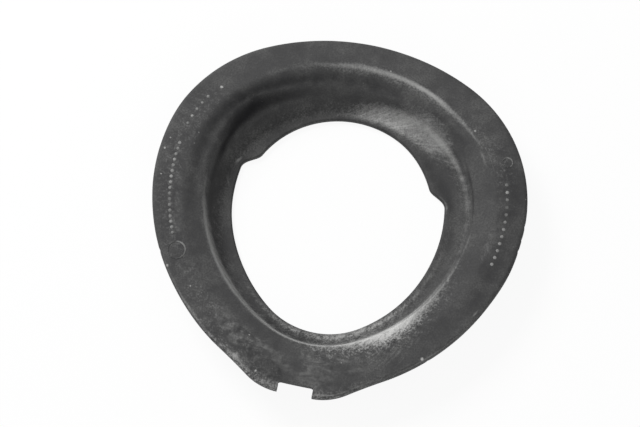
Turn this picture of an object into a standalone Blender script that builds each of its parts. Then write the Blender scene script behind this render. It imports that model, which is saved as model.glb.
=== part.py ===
# Coil spring insulator: one moulded rubber pad, a three-lobed ring with a stepped section.
# Metres, +Z up. It stands on the underside of its inner ledge, and its notch faces -Y.

import math

import bmesh
import bpy
import numpy as np
from mathutils import Vector

for old in list(bpy.data.objects):
    bpy.data.objects.remove(old, do_unlink=True)

MM = 0.001

# Thickness and levels of the rubber
SHEET = 3.2 * MM            # sheet thickness, measured square to the surface
WALL_HEIGHT = 14.0 * MM     # from the top of the ledge up to the crest of the wall
DISH_RISE = 3.8 * MM        # from the crest up to the spring track
CREST_FADE = 3.0 * MM       # how much lower the crest runs behind the wide ledge
LIP_DROP = 1.8 * MM         # how far the rim's lip hangs below the track's underside
LIP_THICKNESS = 3.4 * MM    # thickness of that lip

# Widths at a flank, midway between two lobes, from the hole outwards
HOLE_REACH = 46.9 * MM      # from the middle to the edge of the hole
LEDGE_WIDTH = 7.0 * MM      # flat ledge, up to the foot of the wall
WALL_RUN = 4.0 * MM         # how far the wall leans outwards on its way up
DISH_WIDTH = 9.5 * MM       # sloping band between the crest and the spring track
TRACK_WIDTH = 12.1 * MM     # flat band that the end turn of the spring presses on
FAR_RISE = 1.2 * MM         # how much further the flank opposite the notch reaches
RIM_FAR_RISE = 0.7 * MM     # the same for the rim alone

# How much further each outline reaches at the lobe with the notch and at the two side lobes
HOLE_NOTCH_RISE = 6.3 * MM
HOLE_SIDE_RISE = 4.4 * MM
WALL_NOTCH_RISE = 4.8 * MM
WALL_SIDE_RISE = 3.7 * MM
TRACK_NOTCH_RISE = 4.2 * MM
TRACK_SIDE_RISE = 4.6 * MM
RIM_NOTCH_RISE = 2.9 * MM
RIM_SIDE_RISE = 6.4 * MM

# How far the middles of the same lobes' arcs lie from the middle of the pad
HOLE_NOTCH_OUT = 17.7 * MM
HOLE_SIDE_OUT = 27.3 * MM
WALL_NOTCH_OUT = 20.7 * MM
WALL_SIDE_OUT = 11.6 * MM
TRACK_NOTCH_OUT = 25.6 * MM
TRACK_SIDE_OUT = 26.0 * MM
RIM_NOTCH_OUT = 12.7 * MM
RIM_SIDE_OUT = 19.3 * MM

# The nose that stands out of the rim round the notch: a straight front with a rounded corner
# at each end, and a hollow that brings each corner back to the rim's lobe
NOSE_RISE = 6.5 * MM        # how much further its front reaches than the rim does at a flank
NOSE_HALF_WIDTH = 7.8 * MM
NOSE_RADIUS = 24.8 * MM
HOLLOW_RADIUS = 270.0 * MM

# The far side of the hole is a round edge on a wider ledge, the ear
EAR_INSET = 3.5 * MM        # how much smaller the ear's radius is than the hole's flank reach
EAR_SHIFT = 5.3 * MM        # how far the ear's middle lies away from the notch
EAR_HALF_ANGLE = 64.5       # degrees from the middle of the ear to each of its steps
STEP_HALF_ANGLE = 6.5       # degrees over which a step comes in, to either side

# The notch in the rim, and the dip of the rubber round it
NOTCH_WIDTH = 15.4 * MM
NOTCH_DEPTH = 4.2 * MM
NOTCH_CORNER = 1.0 * MM
NOTCH_DIP = 0.9 * MM
DIP_HALF_ANGLE = 11.0       # degrees

# Radii of the section's corners
FOOT_RADIUS = 5.0 * MM
CREST_RADIUS = 2.6 * MM
SHOULDER_RADIUS = 9.0 * MM
RIM_RADIUS = 2.2 * MM
LIP_RADIUS = 1.1 * MM
EDGE_RADIUS = 0.9 * MM
FILLET_SHARE = 0.46         # the most of a straight that one corner's fillet may take up

# Fineness of the surface
COARSE_PITCH = 3.6          # degrees between two sections
FINE_PITCH = 1.3            # the same across the nose and across a step of the ear
CORNER_STEPS = 4            # faces round each inner corner of the notch
SHARP_ANGLE = 50.0          # degrees, edges that turn more than this are shaded sharp
CUTTER_PAST = 10.0 * MM     # how far the notch's cutter stands out past the rubber
TOLERANCE = 0.001 * MM

LOBE_TURN = 120.0           # degrees from one lobe to the next
NOTCH_ANGLE = 270.0         # the middle of the notch, which is also the middle of a lobe
EAR_ANGLE = 90.0

RUBBER_COLOUR = (0.072, 0.072, 0.073, 1.0)
RUBBER_ROUGHNESS = 0.72


# Plan outlines

def angle_between(angle, other):
    return abs((angle - other + 180.0) % 360.0 - 180.0)


def smooth(share):
    share = min(max(share, 0.0), 1.0)
    return share * share * (3.0 - 2.0 * share)


def hump(angle, middle, half_angle):
    # One at the middle angle, easing to nothing at the half angle.
    return smooth(1.0 - angle_between(angle, middle) / half_angle)


def around(middle, radius, direction):
    # How far a ray from the origin runs to the far side of the circle, or, where the radius is
    # negative, to the near side of a circle that lies outside the rubber.
    along = middle.dot(direction)
    return along + math.copysign(math.sqrt(radius ** 2 - middle.length_squared + along ** 2), radius)


def unit(degrees):
    return Vector((math.cos(math.radians(degrees)), math.sin(math.radians(degrees))))


def turn_of(point):
    return math.degrees(math.atan2(point.y, point.x)) % 360.0


def flank_circle(first, second, point):
    # The circle through the point that holds two lobe circles, touching each of them once.
    rows = [2.0 * (point - middle) for middle, radius in (first, second)]
    fixed = [point.length_squared - middle.length_squared + radius ** 2
             for middle, radius in (first, second)]
    base = Vector(np.linalg.solve(rows, fixed))
    drift = Vector(np.linalg.solve(rows, [-2.0 * first[1], -2.0 * second[1]]))
    a = drift.length_squared - 1.0
    b = 2.0 * (base - point).dot(drift)
    c = (base - point).length_squared
    root = math.sqrt(b ** 2 - 4.0 * a * c)
    sizes = [(-b - root) / (2.0 * a), (-b + root) / (2.0 * a)]
    radius = min(size for size in sizes if size > max(first[1], second[1]))
    return base + drift * radius, radius


def hollow_circle(corner, lobe, radius):
    # The circle of that radius that touches both circles from outside, beside the notch.
    to_corner, to_lobe = corner[1] + radius, lobe[1] + radius
    apart = lobe[0] - corner[0]
    along = (apart.length_squared + to_corner ** 2 - to_lobe ** 2) / (2.0 * apart.length)
    aside = math.sqrt(to_corner ** 2 - along ** 2)
    direction = apart.normalized()
    return corner[0] + direction * along + Vector((direction.y, -direction.x)) * aside, radius


class LobedOutline:
    # A closed outline of three lobe arcs and three flank arcs, the same on both sides of the notch.

    def __init__(self, flank, notch_rise, side_rise, notch_out, side_out, far_rise=FAR_RISE):
        side_radius = flank + side_rise - side_out
        self.notch = (Vector((notch_out, 0.0)), flank + notch_rise - notch_out)
        side = (unit(LOBE_TURN) * side_out, side_radius)
        other_side = (unit(-LOBE_TURN) * side_out, side_radius)
        near_flank = flank_circle(self.notch, side, unit(LOBE_TURN / 2.0) * flank)
        far_flank = flank_circle(side, other_side, unit(180.0) * (flank + far_rise))
        self.arcs = [
            (self.join(self.notch, near_flank), self.notch),
            (self.join(side, near_flank), near_flank),
            (self.join(side, far_flank), side),
            (180.0, far_flank),
        ]

    @staticmethod
    def join(first, second):
        return turn_of(first[0] + (first[0] - second[0]).normalized() * first[1])

    def reach(self, angle):
        from_notch = angle_between(angle, NOTCH_ANGLE)
        middle, radius = next(circle for last, circle in self.arcs if from_notch <= last)
        return around(middle, radius, unit(from_notch))


class NosedOutline(LobedOutline):
    # A lobed outline whose lobe at the notch carries the nose.

    def __init__(self, flank, *sizes, nose_rise, far_rise):
        super().__init__(flank, *sizes, far_rise=far_rise)
        self.front = flank + nose_rise
        self.front_end = turn_of(Vector((self.front, NOSE_HALF_WIDTH)))
        corner = (Vector((self.front - NOSE_RADIUS, NOSE_HALF_WIDTH)), NOSE_RADIUS)
        middle, radius = hollow_circle(corner, self.notch, HOLLOW_RADIUS)
        corner_end = turn_of(corner[0] + (middle - corner[0]).normalized() * corner[1])
        self.nose_end = turn_of(self.notch[0] + (middle - self.notch[0]).normalized() * self.notch[1])
        self.arcs = [(corner_end, corner), (self.nose_end, (middle, -radius))] + self.arcs

    def reach(self, angle):
        from_notch = angle_between(angle, NOTCH_ANGLE)
        if from_notch < self.front_end:
            return self.front / math.cos(math.radians(from_notch))
        return super().reach(angle)


HOLE_OUTLINE = LobedOutline(HOLE_REACH, HOLE_NOTCH_RISE, HOLE_SIDE_RISE, HOLE_NOTCH_OUT, HOLE_SIDE_OUT)
CREST_REACH = HOLE_REACH + LEDGE_WIDTH + WALL_RUN
CREST_OUTLINE = LobedOutline(CREST_REACH, WALL_NOTCH_RISE, WALL_SIDE_RISE, WALL_NOTCH_OUT, WALL_SIDE_OUT)
TRACK_REACH = CREST_REACH + DISH_WIDTH
TRACK_OUTLINE = LobedOutline(TRACK_REACH, TRACK_NOTCH_RISE, TRACK_SIDE_RISE,
                             TRACK_NOTCH_OUT, TRACK_SIDE_OUT)
RIM_REACH = TRACK_REACH + TRACK_WIDTH
RIM_OUTLINE = NosedOutline(RIM_REACH, RIM_NOTCH_RISE, RIM_SIDE_RISE, RIM_NOTCH_OUT, RIM_SIDE_OUT,
                           nose_rise=NOSE_RISE, far_rise=RIM_FAR_RISE)


def hole_reach(angle):
    # The lobed hole, with the ear's round edge let in between the two steps.
    ear = around(unit(EAR_ANGLE) * EAR_SHIFT, HOLE_REACH - EAR_INSET, unit(angle))
    inside = EAR_HALF_ANGLE + STEP_HALF_ANGLE - angle_between(angle, EAR_ANGLE)
    share = smooth(inside / (2.0 * STEP_HALF_ANGLE))
    return HOLE_OUTLINE.reach(angle) * (1.0 - share) + ear * share


# The section, as points of reach and height

def offset_corner(before, corner, after, distance):
    # Where the two straights meet again once both are moved below by the distance.
    first = (corner - before).normalized()
    second = (after - corner).normalized()
    below_first = Vector((first.y, -first.x))
    below_second = Vector((second.y, -second.x))
    bisector = (below_first + below_second).normalized()
    return corner + bisector * (distance / bisector.dot(below_first))


def rounded(corners):
    # Closed outline through the corners, each a point with its fillet radius and number of steps.
    outline = []
    for index, (corner, radius, steps) in enumerate(corners):
        before = corners[index - 1][0] - corner
        after = corners[(index + 1) % len(corners)][0] - corner
        half = before.angle(after) / 2.0
        room = FILLET_SHARE * min(before.length, after.length)
        reach = min(radius / math.tan(half), room)
        radius = reach * math.tan(half)
        inwards = (before.normalized() + after.normalized()).normalized()
        middle = corner + inwards * (radius / math.sin(half))
        start = corner + before.normalized() * reach - middle
        end = corner + after.normalized() * reach - middle
        sweep = start.angle_signed(end)
        for step in range(steps + 1):
            turn = -sweep * step / steps
            cos, sin = math.cos(turn), math.sin(turn)
            outline.append(middle + Vector((start.x * cos - start.y * sin, start.x * sin + start.y * cos)))
    return outline


def section(angle):
    hole = hole_reach(angle)
    crest = CREST_OUTLINE.reach(angle)
    foot = crest - WALL_RUN
    track = TRACK_OUTLINE.reach(angle)
    rim = RIM_OUTLINE.reach(angle)
    fade = CREST_FADE * hump(angle, EAR_ANGLE, EAR_HALF_ANGLE)
    track_top = SHEET + WALL_HEIGHT + DISH_RISE
    rim_top = track_top - NOTCH_DIP * hump(angle, NOTCH_ANGLE, DIP_HALF_ANGLE)

    hole_top = Vector((hole, SHEET))
    foot_top = Vector((foot, SHEET))
    crest_top = Vector((crest, SHEET + WALL_HEIGHT - fade))
    shoulder_top = Vector((track, track_top))
    rim_edge = Vector((rim, rim_top))

    foot_under = offset_corner(hole_top, foot_top, crest_top, SHEET)
    crest_under = offset_corner(foot_top, crest_top, shoulder_top, SHEET)
    shoulder_under = offset_corner(crest_top, shoulder_top, rim_edge, SHEET)
    lip_root = Vector((rim - LIP_THICKNESS, rim_top - SHEET))
    lip_inside = Vector((rim - LIP_THICKNESS, rim_top - SHEET - LIP_DROP))
    lip_outside = Vector((rim, rim_top - SHEET - LIP_DROP))

    return rounded([
        (Vector((hole, 0.0)), EDGE_RADIUS, 1),
        (hole_top, EDGE_RADIUS, 2),
        (foot_top, FOOT_RADIUS, 4),
        (crest_top, CREST_RADIUS, 3),
        (shoulder_top, SHOULDER_RADIUS, 2),
        (rim_edge, RIM_RADIUS, 3),
        (lip_outside, LIP_RADIUS, 1),
        (lip_inside, LIP_RADIUS, 1),
        (lip_root, LIP_RADIUS, 1),
        (shoulder_under, SHOULDER_RADIUS, 1),
        (crest_under, CREST_RADIUS, 2),
        (foot_under, FOOT_RADIUS + SHEET, 3),
    ])


# The solid

def spread(first, last, pitch):
    count = max(1, round((last - first) / pitch))
    return [first + (last - first) * index / count for index in range(count)]


def station_angles():
    # Close together across the nose and the two steps of the ear, and wider apart everywhere else.
    right, left = EAR_ANGLE - EAR_HALF_ANGLE, EAR_ANGLE + EAR_HALF_ANGLE
    nose_start, nose_end = NOTCH_ANGLE - RIM_OUTLINE.nose_end, NOTCH_ANGLE + RIM_OUTLINE.nose_end
    angles = spread(right - STEP_HALF_ANGLE, right + STEP_HALF_ANGLE, FINE_PITCH)
    angles += spread(right + STEP_HALF_ANGLE, left - STEP_HALF_ANGLE, COARSE_PITCH)
    angles += spread(left - STEP_HALF_ANGLE, left + STEP_HALF_ANGLE, FINE_PITCH)
    angles += spread(left + STEP_HALF_ANGLE, nose_start, COARSE_PITCH)
    angles += spread(nose_start, nose_end, FINE_PITCH)
    angles += spread(nose_end, right - STEP_HALF_ANGLE + 360.0, COARSE_PITCH)
    return angles


def make_ring():
    bm = bmesh.new()
    loops = []
    for angle in station_angles():
        cos, sin = math.cos(math.radians(angle)), math.sin(math.radians(angle))
        loops.append([bm.verts.new((p.x * cos, p.x * sin, p.y)) for p in section(angle)])
    for index, loop in enumerate(loops):
        following = loops[(index + 1) % len(loops)]
        for here in range(len(loop)):
            there = (here + 1) % len(loop)
            bm.faces.new((loop[here], loop[there], following[there], following[here]))
    bmesh.ops.recalc_face_normals(bm, faces=bm.faces)
    mesh = bpy.data.meshes.new("spring_pad")
    bm.to_mesh(mesh)
    bm.free()
    mesh.shade_smooth()
    mesh.set_sharp_from_angle(angle=math.radians(SHARP_ANGLE))
    return mesh


def make_notch_cutter():
    # A block that stands across the rim, with its two inner edges rounded.
    outer = RIM_OUTLINE.reach(NOTCH_ANGLE) + CUTTER_PAST
    floor = RIM_OUTLINE.reach(NOTCH_ANGLE) - NOTCH_DEPTH
    top = SHEET + WALL_HEIGHT + DISH_RISE + CUTTER_PAST
    bottom = SHEET + WALL_HEIGHT - CUTTER_PAST
    bm = bmesh.new()
    bmesh.ops.create_cube(bm, size=1.0)
    for vert in bm.verts:
        vert.co.x *= NOTCH_WIDTH
        vert.co.y = -outer if vert.co.y < 0.0 else -floor
        vert.co.z = top if vert.co.z > 0.0 else bottom
    inner = [edge for edge in bm.edges
             if all(abs(vert.co.y + floor) < TOLERANCE for vert in edge.verts)
             and abs(edge.verts[0].co.x - edge.verts[1].co.x) < TOLERANCE]
    bmesh.ops.bevel(bm, geom=inner, offset=NOTCH_CORNER, segments=CORNER_STEPS, profile=0.5, affect="EDGES")
    bmesh.ops.recalc_face_normals(bm, faces=bm.faces)
    mesh = bpy.data.meshes.new("notch_cutter")
    bm.to_mesh(mesh)
    bm.free()
    return mesh


def make_rubber():
    rubber = bpy.data.materials.new("rubber")
    rubber.use_nodes = True
    shader = rubber.node_tree.nodes["Principled BSDF"]
    shader.inputs["Base Color"].default_value = RUBBER_COLOUR
    shader.inputs["Roughness"].default_value = RUBBER_ROUGHNESS
    shader.inputs["Metallic"].default_value = 0.0
    return rubber


def box_middle():
    # How far the pad moves along Y so that the middle of its box lies over the origin.
    half_width = NOTCH_WIDTH / 2.0
    beside_notch = NOTCH_ANGLE + math.degrees(math.asin(half_width / RIM_OUTLINE.reach(NOTCH_ANGLE)))
    front = math.sqrt(RIM_OUTLINE.reach(beside_notch) ** 2 - half_width ** 2)
    return (front - RIM_OUTLINE.reach(EAR_ANGLE)) / 2.0


pad = bpy.data.objects.new("spring_pad", make_ring())
pad.location.y = box_middle()
pad.data.materials.append(make_rubber())
bpy.context.collection.objects.link(pad)

cutter = bpy.data.objects.new("notch_cutter", make_notch_cutter())
cutter.parent = pad
cutter.hide_render = True
cutter.display_type = "WIRE"
bpy.context.collection.objects.link(cutter)

notch = pad.modifiers.new("notch", "BOOLEAN")
notch.operation = "DIFFERENCE"
notch.object = cutter
notch.solver = "EXACT"
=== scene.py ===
import math

import bmesh
import bpy
import numpy as np
from mathutils import Matrix, Vector, noise


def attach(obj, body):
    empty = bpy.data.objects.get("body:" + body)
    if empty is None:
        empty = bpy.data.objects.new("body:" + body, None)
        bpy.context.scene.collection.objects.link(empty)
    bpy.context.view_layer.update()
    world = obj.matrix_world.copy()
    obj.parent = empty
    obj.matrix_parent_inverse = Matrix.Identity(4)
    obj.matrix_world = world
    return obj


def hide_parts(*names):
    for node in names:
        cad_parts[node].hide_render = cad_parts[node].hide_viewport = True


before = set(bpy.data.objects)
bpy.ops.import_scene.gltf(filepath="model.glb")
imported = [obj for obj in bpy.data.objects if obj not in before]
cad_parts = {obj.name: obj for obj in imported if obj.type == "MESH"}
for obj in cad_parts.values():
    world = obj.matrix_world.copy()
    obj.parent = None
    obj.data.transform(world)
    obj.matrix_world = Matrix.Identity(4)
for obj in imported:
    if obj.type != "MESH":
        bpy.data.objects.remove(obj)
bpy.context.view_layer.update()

mm = 0.001                      # metres


def angleBetween(angle, other):
    return abs((angle - other + 180.0) % 360.0 - 180.0)


def ease(share):
    share = min(max(share, 0.0), 1.0)
    return share * share * (3.0 - 2.0 * share)


def heading(degrees):
    return Vector((math.cos(math.radians(degrees)), math.sin(math.radians(degrees))))


def turnOf(point):
    return math.degrees(math.atan2(point.y, point.x)) % 360.0


# the pad's shape, from the same named sizes as the CAD
padShape = {                    # all in millimetres and degrees
    "sheet": 3.2,               # thickness of the rubber
    "wallHeight": 14.0,         # ledge to crest
    "dishRise": 3.8,            # crest to spring track
    "crestFade": 3.0,           # the crest runs this much lower behind the wide ledge
    "lipDrop": 1.8,
    "lipThickness": 3.4,
    "wallRun": 4.0,
    "notchAngle": 270.0,
    "earAngle": 90.0,
    "earInset": 3.5,
    "earShift": 5.3,
    "earHalfAngle": 64.5,
    "stepHalfAngle": 6.5,
    "notchWidth": 15.4,
    "notchDepth": 4.2,
    "notchCorner": 1.0,
    "notchDip": 0.9,
    "dipHalfAngle": 11.0,
    "rimSkin": 0.06,            # how far the rim stays inside the CAD's
    "holeSkin": 0.1,            # how much narrower the hole is than the CAD's
    "middleShift": 2.9015,      # the lobes' middle lies this far from the box's middle, away from the notch
    "lift": 0.01,               # the pad stands this far above the floor
    "reliefHeight": 0.22,       # room left above the track for its raised marks
    "crestSoft": 5.0,           # the crest is rounder by this much behind the wide ledge
    "softMiddle": 95.0,
    "softReach": 105.0,         # no rounder from this angle away on
    "softFade": 60.0,           # and fully so this much sooner
    "stationPitch": 0.55,       # between the loft's sections, degrees
    "notchStations": 11,
    "besideFade": 6.0,          # the flange's lines run straight to the rim over this angle beside the notch
    "besideRoom": 1.5,          # and from this far inside its floor
    "cutRound": 0.4,            # rounding of the notch's edges
    "cutSteps": 3,
    "sharpAngle": 48.0,
}

# each outline's reach at a flank, its rises at the notch lobe and at the side lobes, how far out the middles
# of those lobes lie, and the rise of the far flank
outlineSizes = {
    "hole": (46.9, 6.3, 4.4, 17.7, 27.3, 1.2),
    "crest": (57.9, 4.8, 3.7, 20.7, 11.6, 1.2),
    "track": (67.4, 4.2, 4.6, 25.6, 26.0, 1.2),
    "rim": (79.5, 2.9, 6.4, 12.7, 19.3, 0.7),
}

noseShape = {                   # the nose of the rim round the notch
    "rise": 6.5,
    "halfWidth": 7.8,
    "radius": 24.8,
    "hollowRadius": 270.0,
}


def aroundCircle(middle, radius, direction):
    # a negative radius is a hollow, a circle that lies outside the rubber
    along = middle.dot(direction)
    return along + math.copysign(math.sqrt(radius ** 2 - middle.length_squared + along ** 2), radius)


def flankCircle(first, second, point):
    rows = [2.0 * (point - middle) for middle, radius in (first, second)]
    fixed = [point.length_squared - middle.length_squared + radius ** 2
             for middle, radius in (first, second)]
    base = Vector(np.linalg.solve(rows, fixed))
    drift = Vector(np.linalg.solve(rows, [-2.0 * first[1], -2.0 * second[1]]))
    a = drift.length_squared - 1.0
    b = 2.0 * (base - point).dot(drift)
    c = (base - point).length_squared
    root = math.sqrt(b ** 2 - 4.0 * a * c)
    sizes = [(-b - root) / (2.0 * a), (-b + root) / (2.0 * a)]
    radius = min(size for size in sizes if size > max(first[1], second[1]))
    return base + drift * radius, radius


def lobedOutline(flank, notchRise, sideRise, notchOut, sideOut, farRise, nose=None):
    # three lobe arcs and three flank arcs; returns how far the outline reaches at an angle
    notchLobe = (Vector((notchOut, 0.0)), flank + notchRise - notchOut)
    sideLobe = (heading(120.0) * sideOut, flank + sideRise - sideOut)
    otherLobe = (heading(-120.0) * sideOut, sideLobe[1])
    nearFlank = flankCircle(notchLobe, sideLobe, heading(60.0) * flank)
    farFlank = flankCircle(sideLobe, otherLobe, heading(180.0) * (flank + farRise))

    def join(first, second):
        return turnOf(first[0] + (first[0] - second[0]).normalized() * first[1])

    arcs = [(join(notchLobe, nearFlank), notchLobe), (join(sideLobe, nearFlank), nearFlank),
            (join(sideLobe, farFlank), sideLobe), (180.0, farFlank)]
    front, frontEnd = 0.0, -1.0
    if nose:
        front = flank + nose["rise"]
        frontEnd = turnOf(Vector((front, nose["halfWidth"])))
        corner = (Vector((front - nose["radius"], nose["halfWidth"])), nose["radius"])
        toCorner, toLobe = corner[1] + nose["hollowRadius"], notchLobe[1] + nose["hollowRadius"]
        apart = notchLobe[0] - corner[0]
        along = (apart.length_squared + toCorner ** 2 - toLobe ** 2) / (2.0 * apart.length)
        aside = math.sqrt(toCorner ** 2 - along ** 2)
        direction = apart.normalized()
        middle = corner[0] + direction * along + Vector((direction.y, -direction.x)) * aside
        cornerEnd = turnOf(corner[0] + (middle - corner[0]).normalized() * corner[1])
        hollowEnd = turnOf(notchLobe[0] + (middle - notchLobe[0]).normalized() * notchLobe[1])
        arcs = [(cornerEnd, corner), (hollowEnd, (middle, -nose["hollowRadius"]))] + arcs

    def reach(angle):
        fromNotch = angleBetween(angle, padShape["notchAngle"])
        if fromNotch < frontEnd:
            return front / math.cos(math.radians(fromNotch))
        middle, radius = next(circle for last, circle in arcs if fromNotch <= last)
        return aroundCircle(middle, radius, heading(fromNotch))
    return reach


reachOf = {name: lobedOutline(*sizes, nose=noseShape if name == "rim" else None)
           for name, sizes in outlineSizes.items()}

# how the used pad has taken a set: middle angle, half width in degrees, millimetres outwards
outOfTrue = {
    "hole": ((226.0, 62.0, -0.95), (314.0, 54.0, 0.85), (31.0, 36.0, -0.75), (168.0, 20.0, -0.2)),
    "crest": ((226.0, 62.0, -0.6), (314.0, 54.0, 0.4)),
    "rim": ((169.0, 16.0, -0.45), (221.0, 22.0, -0.3), (351.0, 14.0, 0.4), (50.0, 34.0, 0.2)),
}


def setAt(name, angle):
    return sum(amount * ease(1.0 - angleBetween(angle, middle) / half)
               for middle, half, amount in outOfTrue[name])


def holeReach(angle):
    # the lobed hole, with the wide ledge's round edge let in between its two steps
    ear = aroundCircle(heading(padShape["earAngle"]) * padShape["earShift"],
                       outlineSizes["hole"][0] - padShape["earInset"], heading(angle))
    inside = padShape["earHalfAngle"] + padShape["stepHalfAngle"] - angleBetween(angle, padShape["earAngle"])
    share = ease(inside / (2.0 * padShape["stepHalfAngle"]))
    lobed = reachOf["hole"](angle)
    return lobed * (1.0 - share) + ear * share + setAt("hole", angle) - padShape["holeSkin"]


def rimReach(angle):
    # a hair inside the CAD's rim, which is made of longer facets
    return reachOf["rim"](angle) + setAt("rim", angle) - padShape["rimSkin"]


def offsetCorner(before, corner, after, distance):
    first = (corner - before).normalized()
    second = (after - corner).normalized()
    belowFirst = Vector((first.y, -first.x))
    belowSecond = Vector((second.y, -second.x))
    bisector = (belowFirst + belowSecond).normalized()
    return corner + bisector * (distance / bisector.dot(belowFirst))


# corner number: 0 hole under, 1 hole top, 2 foot of wall, 3 crest, 4 shoulder, 5 rim, 6 lip outside,
# 7 lip inside, 8 lip root, 9 shoulder under, 10 crest under, 11 foot under
cornerPlan = {
    "radius": (0.9, 0.9, 5.0, 1.9, 7.0, 2.0, 1.1, 1.1, 0.6, 9.0, 2.6, 8.2),
    "steps": (3, 4, 6, 7, 7, 6, 4, 3, 4, 3, 4, 5),
    "between": (1, 4, 6, 6, 6, 1, 1, 1, 5, 2, 3, 3),    # points on the straight after each corner
    "room": 0.46,               # the most of a straight that a rounding may take up
    "span": 0.3,                # how much of a place a rounding covers; the straights have the rest
}
crestCorner, shoulderCorner, lipCorner, rootCorner = 3, 4, 7, 8


def padTop():
    return padShape["sheet"] + padShape["wallHeight"] + padShape["dishRise"] - padShape["reliefHeight"]


def sectionCorners(angle):
    shape = padShape
    hole = holeReach(angle)
    crest = reachOf["crest"](angle) + setAt("crest", angle)
    foot = crest - shape["wallRun"]
    track = reachOf["track"](angle)
    rim = rimReach(angle)
    sheet = shape["sheet"]
    fade = shape["crestFade"] * ease(1.0 - angleBetween(angle, shape["earAngle"]) / shape["earHalfAngle"])
    dip = shape["notchDip"] * ease(1.0 - angleBetween(angle, shape["notchAngle"]) / shape["dipHalfAngle"])
    rimTop = padTop() - dip
    rimUnder = rimTop + shape["reliefHeight"] - sheet
    lipUnder = rimUnder - shape["lipDrop"]
    lipInside = rim - shape["lipThickness"]
    holeTop = Vector((hole, sheet))
    footTop = Vector((foot, sheet))
    crestTop = Vector((crest, sheet + shape["wallHeight"] - fade))
    shoulderTop = Vector((track, padTop()))
    rimEdge = Vector((rim, rimTop))
    return [
        Vector((hole, 0.0)), holeTop, footTop, crestTop, shoulderTop, rimEdge,
        Vector((rim, lipUnder)), Vector((lipInside, lipUnder)), Vector((lipInside, rimUnder)),
        offsetCorner(crestTop, shoulderTop, rimEdge, sheet),
        offsetCorner(footTop, crestTop, shoulderTop, sheet),
        offsetCorner(holeTop, footTop, crestTop, sheet),
    ]


def straightStops(corner, start, end, rim):
    # where the points of a straight lie; two of them follow the notch's floor and its corner's end
    count = cornerPlan["between"][corner]
    shares = [(index + 1) / (count + 1) for index in range(count)]
    frontShare = rim / rimReach(padShape["notchAngle"])
    floorReach = rim - padShape["notchDepth"] * frontShare
    if corner == shoulderCorner:
        cornerEnd = floorReach + padShape["notchCorner"]
        floorShare, endShare = [(stop - start.x) / (end.x - start.x) for stop in (floorReach, cornerEnd)]
        shares = [floorShare * (index + 1) / (count - 1) for index in range(count - 1)] + [endShare]
    if corner == rootCorner:
        floorShare = (floorReach - start.x) / (end.x - start.x)
        shares = [floorShare + (1.0 - floorShare) * index / count for index in range(count)]
    return shares


def sectionAt(angle):
    # points of reach, height and place; the place counts the corners and runs on between them
    corners = sectionCorners(angle)
    rim = rimReach(angle)
    radii = list(cornerPlan["radius"])
    softness = (padShape["softReach"] - angleBetween(angle, padShape["softMiddle"])) / padShape["softFade"]
    radii[crestCorner] += padShape["crestSoft"] * ease(softness)
    fillets = []
    for index, corner in enumerate(corners):
        before = corners[index - 1] - corner
        after = corners[(index + 1) % len(corners)] - corner
        half = before.angle(after) / 2.0
        reach = min(radii[index] / math.tan(half),
                    cornerPlan["room"] * min(before.length, after.length))
        radius = reach * math.tan(half)
        toMiddle = (before.normalized() + after.normalized()).normalized()
        middle = corner + toMiddle * (radius / math.sin(half))
        start = corner + before.normalized() * reach - middle
        sweep = start.angle_signed(corner + after.normalized() * reach - middle)
        steps = cornerPlan["steps"][index]
        arc = []
        for step in range(steps + 1):
            cos, sin = math.cos(-sweep * step / steps), math.sin(-sweep * step / steps)
            arc.append(middle + Vector((start.x * cos - start.y * sin, start.x * sin + start.y * cos)))
        fillets.append(arc)
    points = []
    span = cornerPlan["span"]
    for index, arc in enumerate(fillets):
        steps = len(arc) - 1
        points += [(p.x, p.y, index + span * (step / steps - 0.5)) for step, p in enumerate(arc)]
        start, end = arc[-1], fillets[(index + 1) % len(fillets)][0]
        for share in straightStops(index, start, end, rim):
            p = start.lerp(end, share)
            points.append((p.x, p.y, index + span / 2.0 + (1.0 - span) * share))
    return points


def pointNumber(corner, past):
    # number of the section's point that lies this many past the end of a corner's rounding
    before = sum(cornerPlan["steps"][c] + 1 + cornerPlan["between"][c] for c in range(corner))
    return before + cornerPlan["steps"][corner] + past


def angleAtRim(across):
    # the angle at which the rim stands this far to the side of the notch's middle
    angle = math.asin(across / rimReach(padShape["notchAngle"]))
    for attempt in range(4):
        angle = math.asin(across / rimReach(padShape["notchAngle"] + math.degrees(angle)))
    return padShape["notchAngle"] + math.degrees(angle)


def stationAngles():
    half = padShape["notchWidth"] / 2.0
    inner = half - padShape["notchCorner"]
    count = padShape["notchStations"]
    across = [-half] + [-inner + 2.0 * inner * index / (count - 1) for index in range(count)] + [half]
    inNotch = [angleAtRim(value) for value in across]
    first, last = inNotch[-1], inNotch[0] + 360.0
    rest = round((last - first) / padShape["stationPitch"])
    return inNotch + [first + (last - first) * index / rest for index in range(1, rest)], len(inNotch)


wearShape = {                   # nicks and unevenness of the used rubber, millimetres and degrees
    "unevenness": 0.16,
    "unevenSize": 16.0,
    "unevenStart": 4.0,         # another number gives other waves
    "levelBelow": 2.0,          # no waves below this height, where the pad rests
    "rimNicks": (               # angle, half width, depth
        (6.4, 0.9, 0.5), (2.2, 0.7, 0.4), (-1.6, 1.1, 0.55), (312.0, 0.8, 0.35), (206.0, 1.0, 0.4),
    ),
    "nickPlaces": (4.9, 6.3),   # from the rim's edge down to the lip, deepest at the middle
    "nickMiddle": 5.5,
    "nickReach": 0.8,
}


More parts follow.
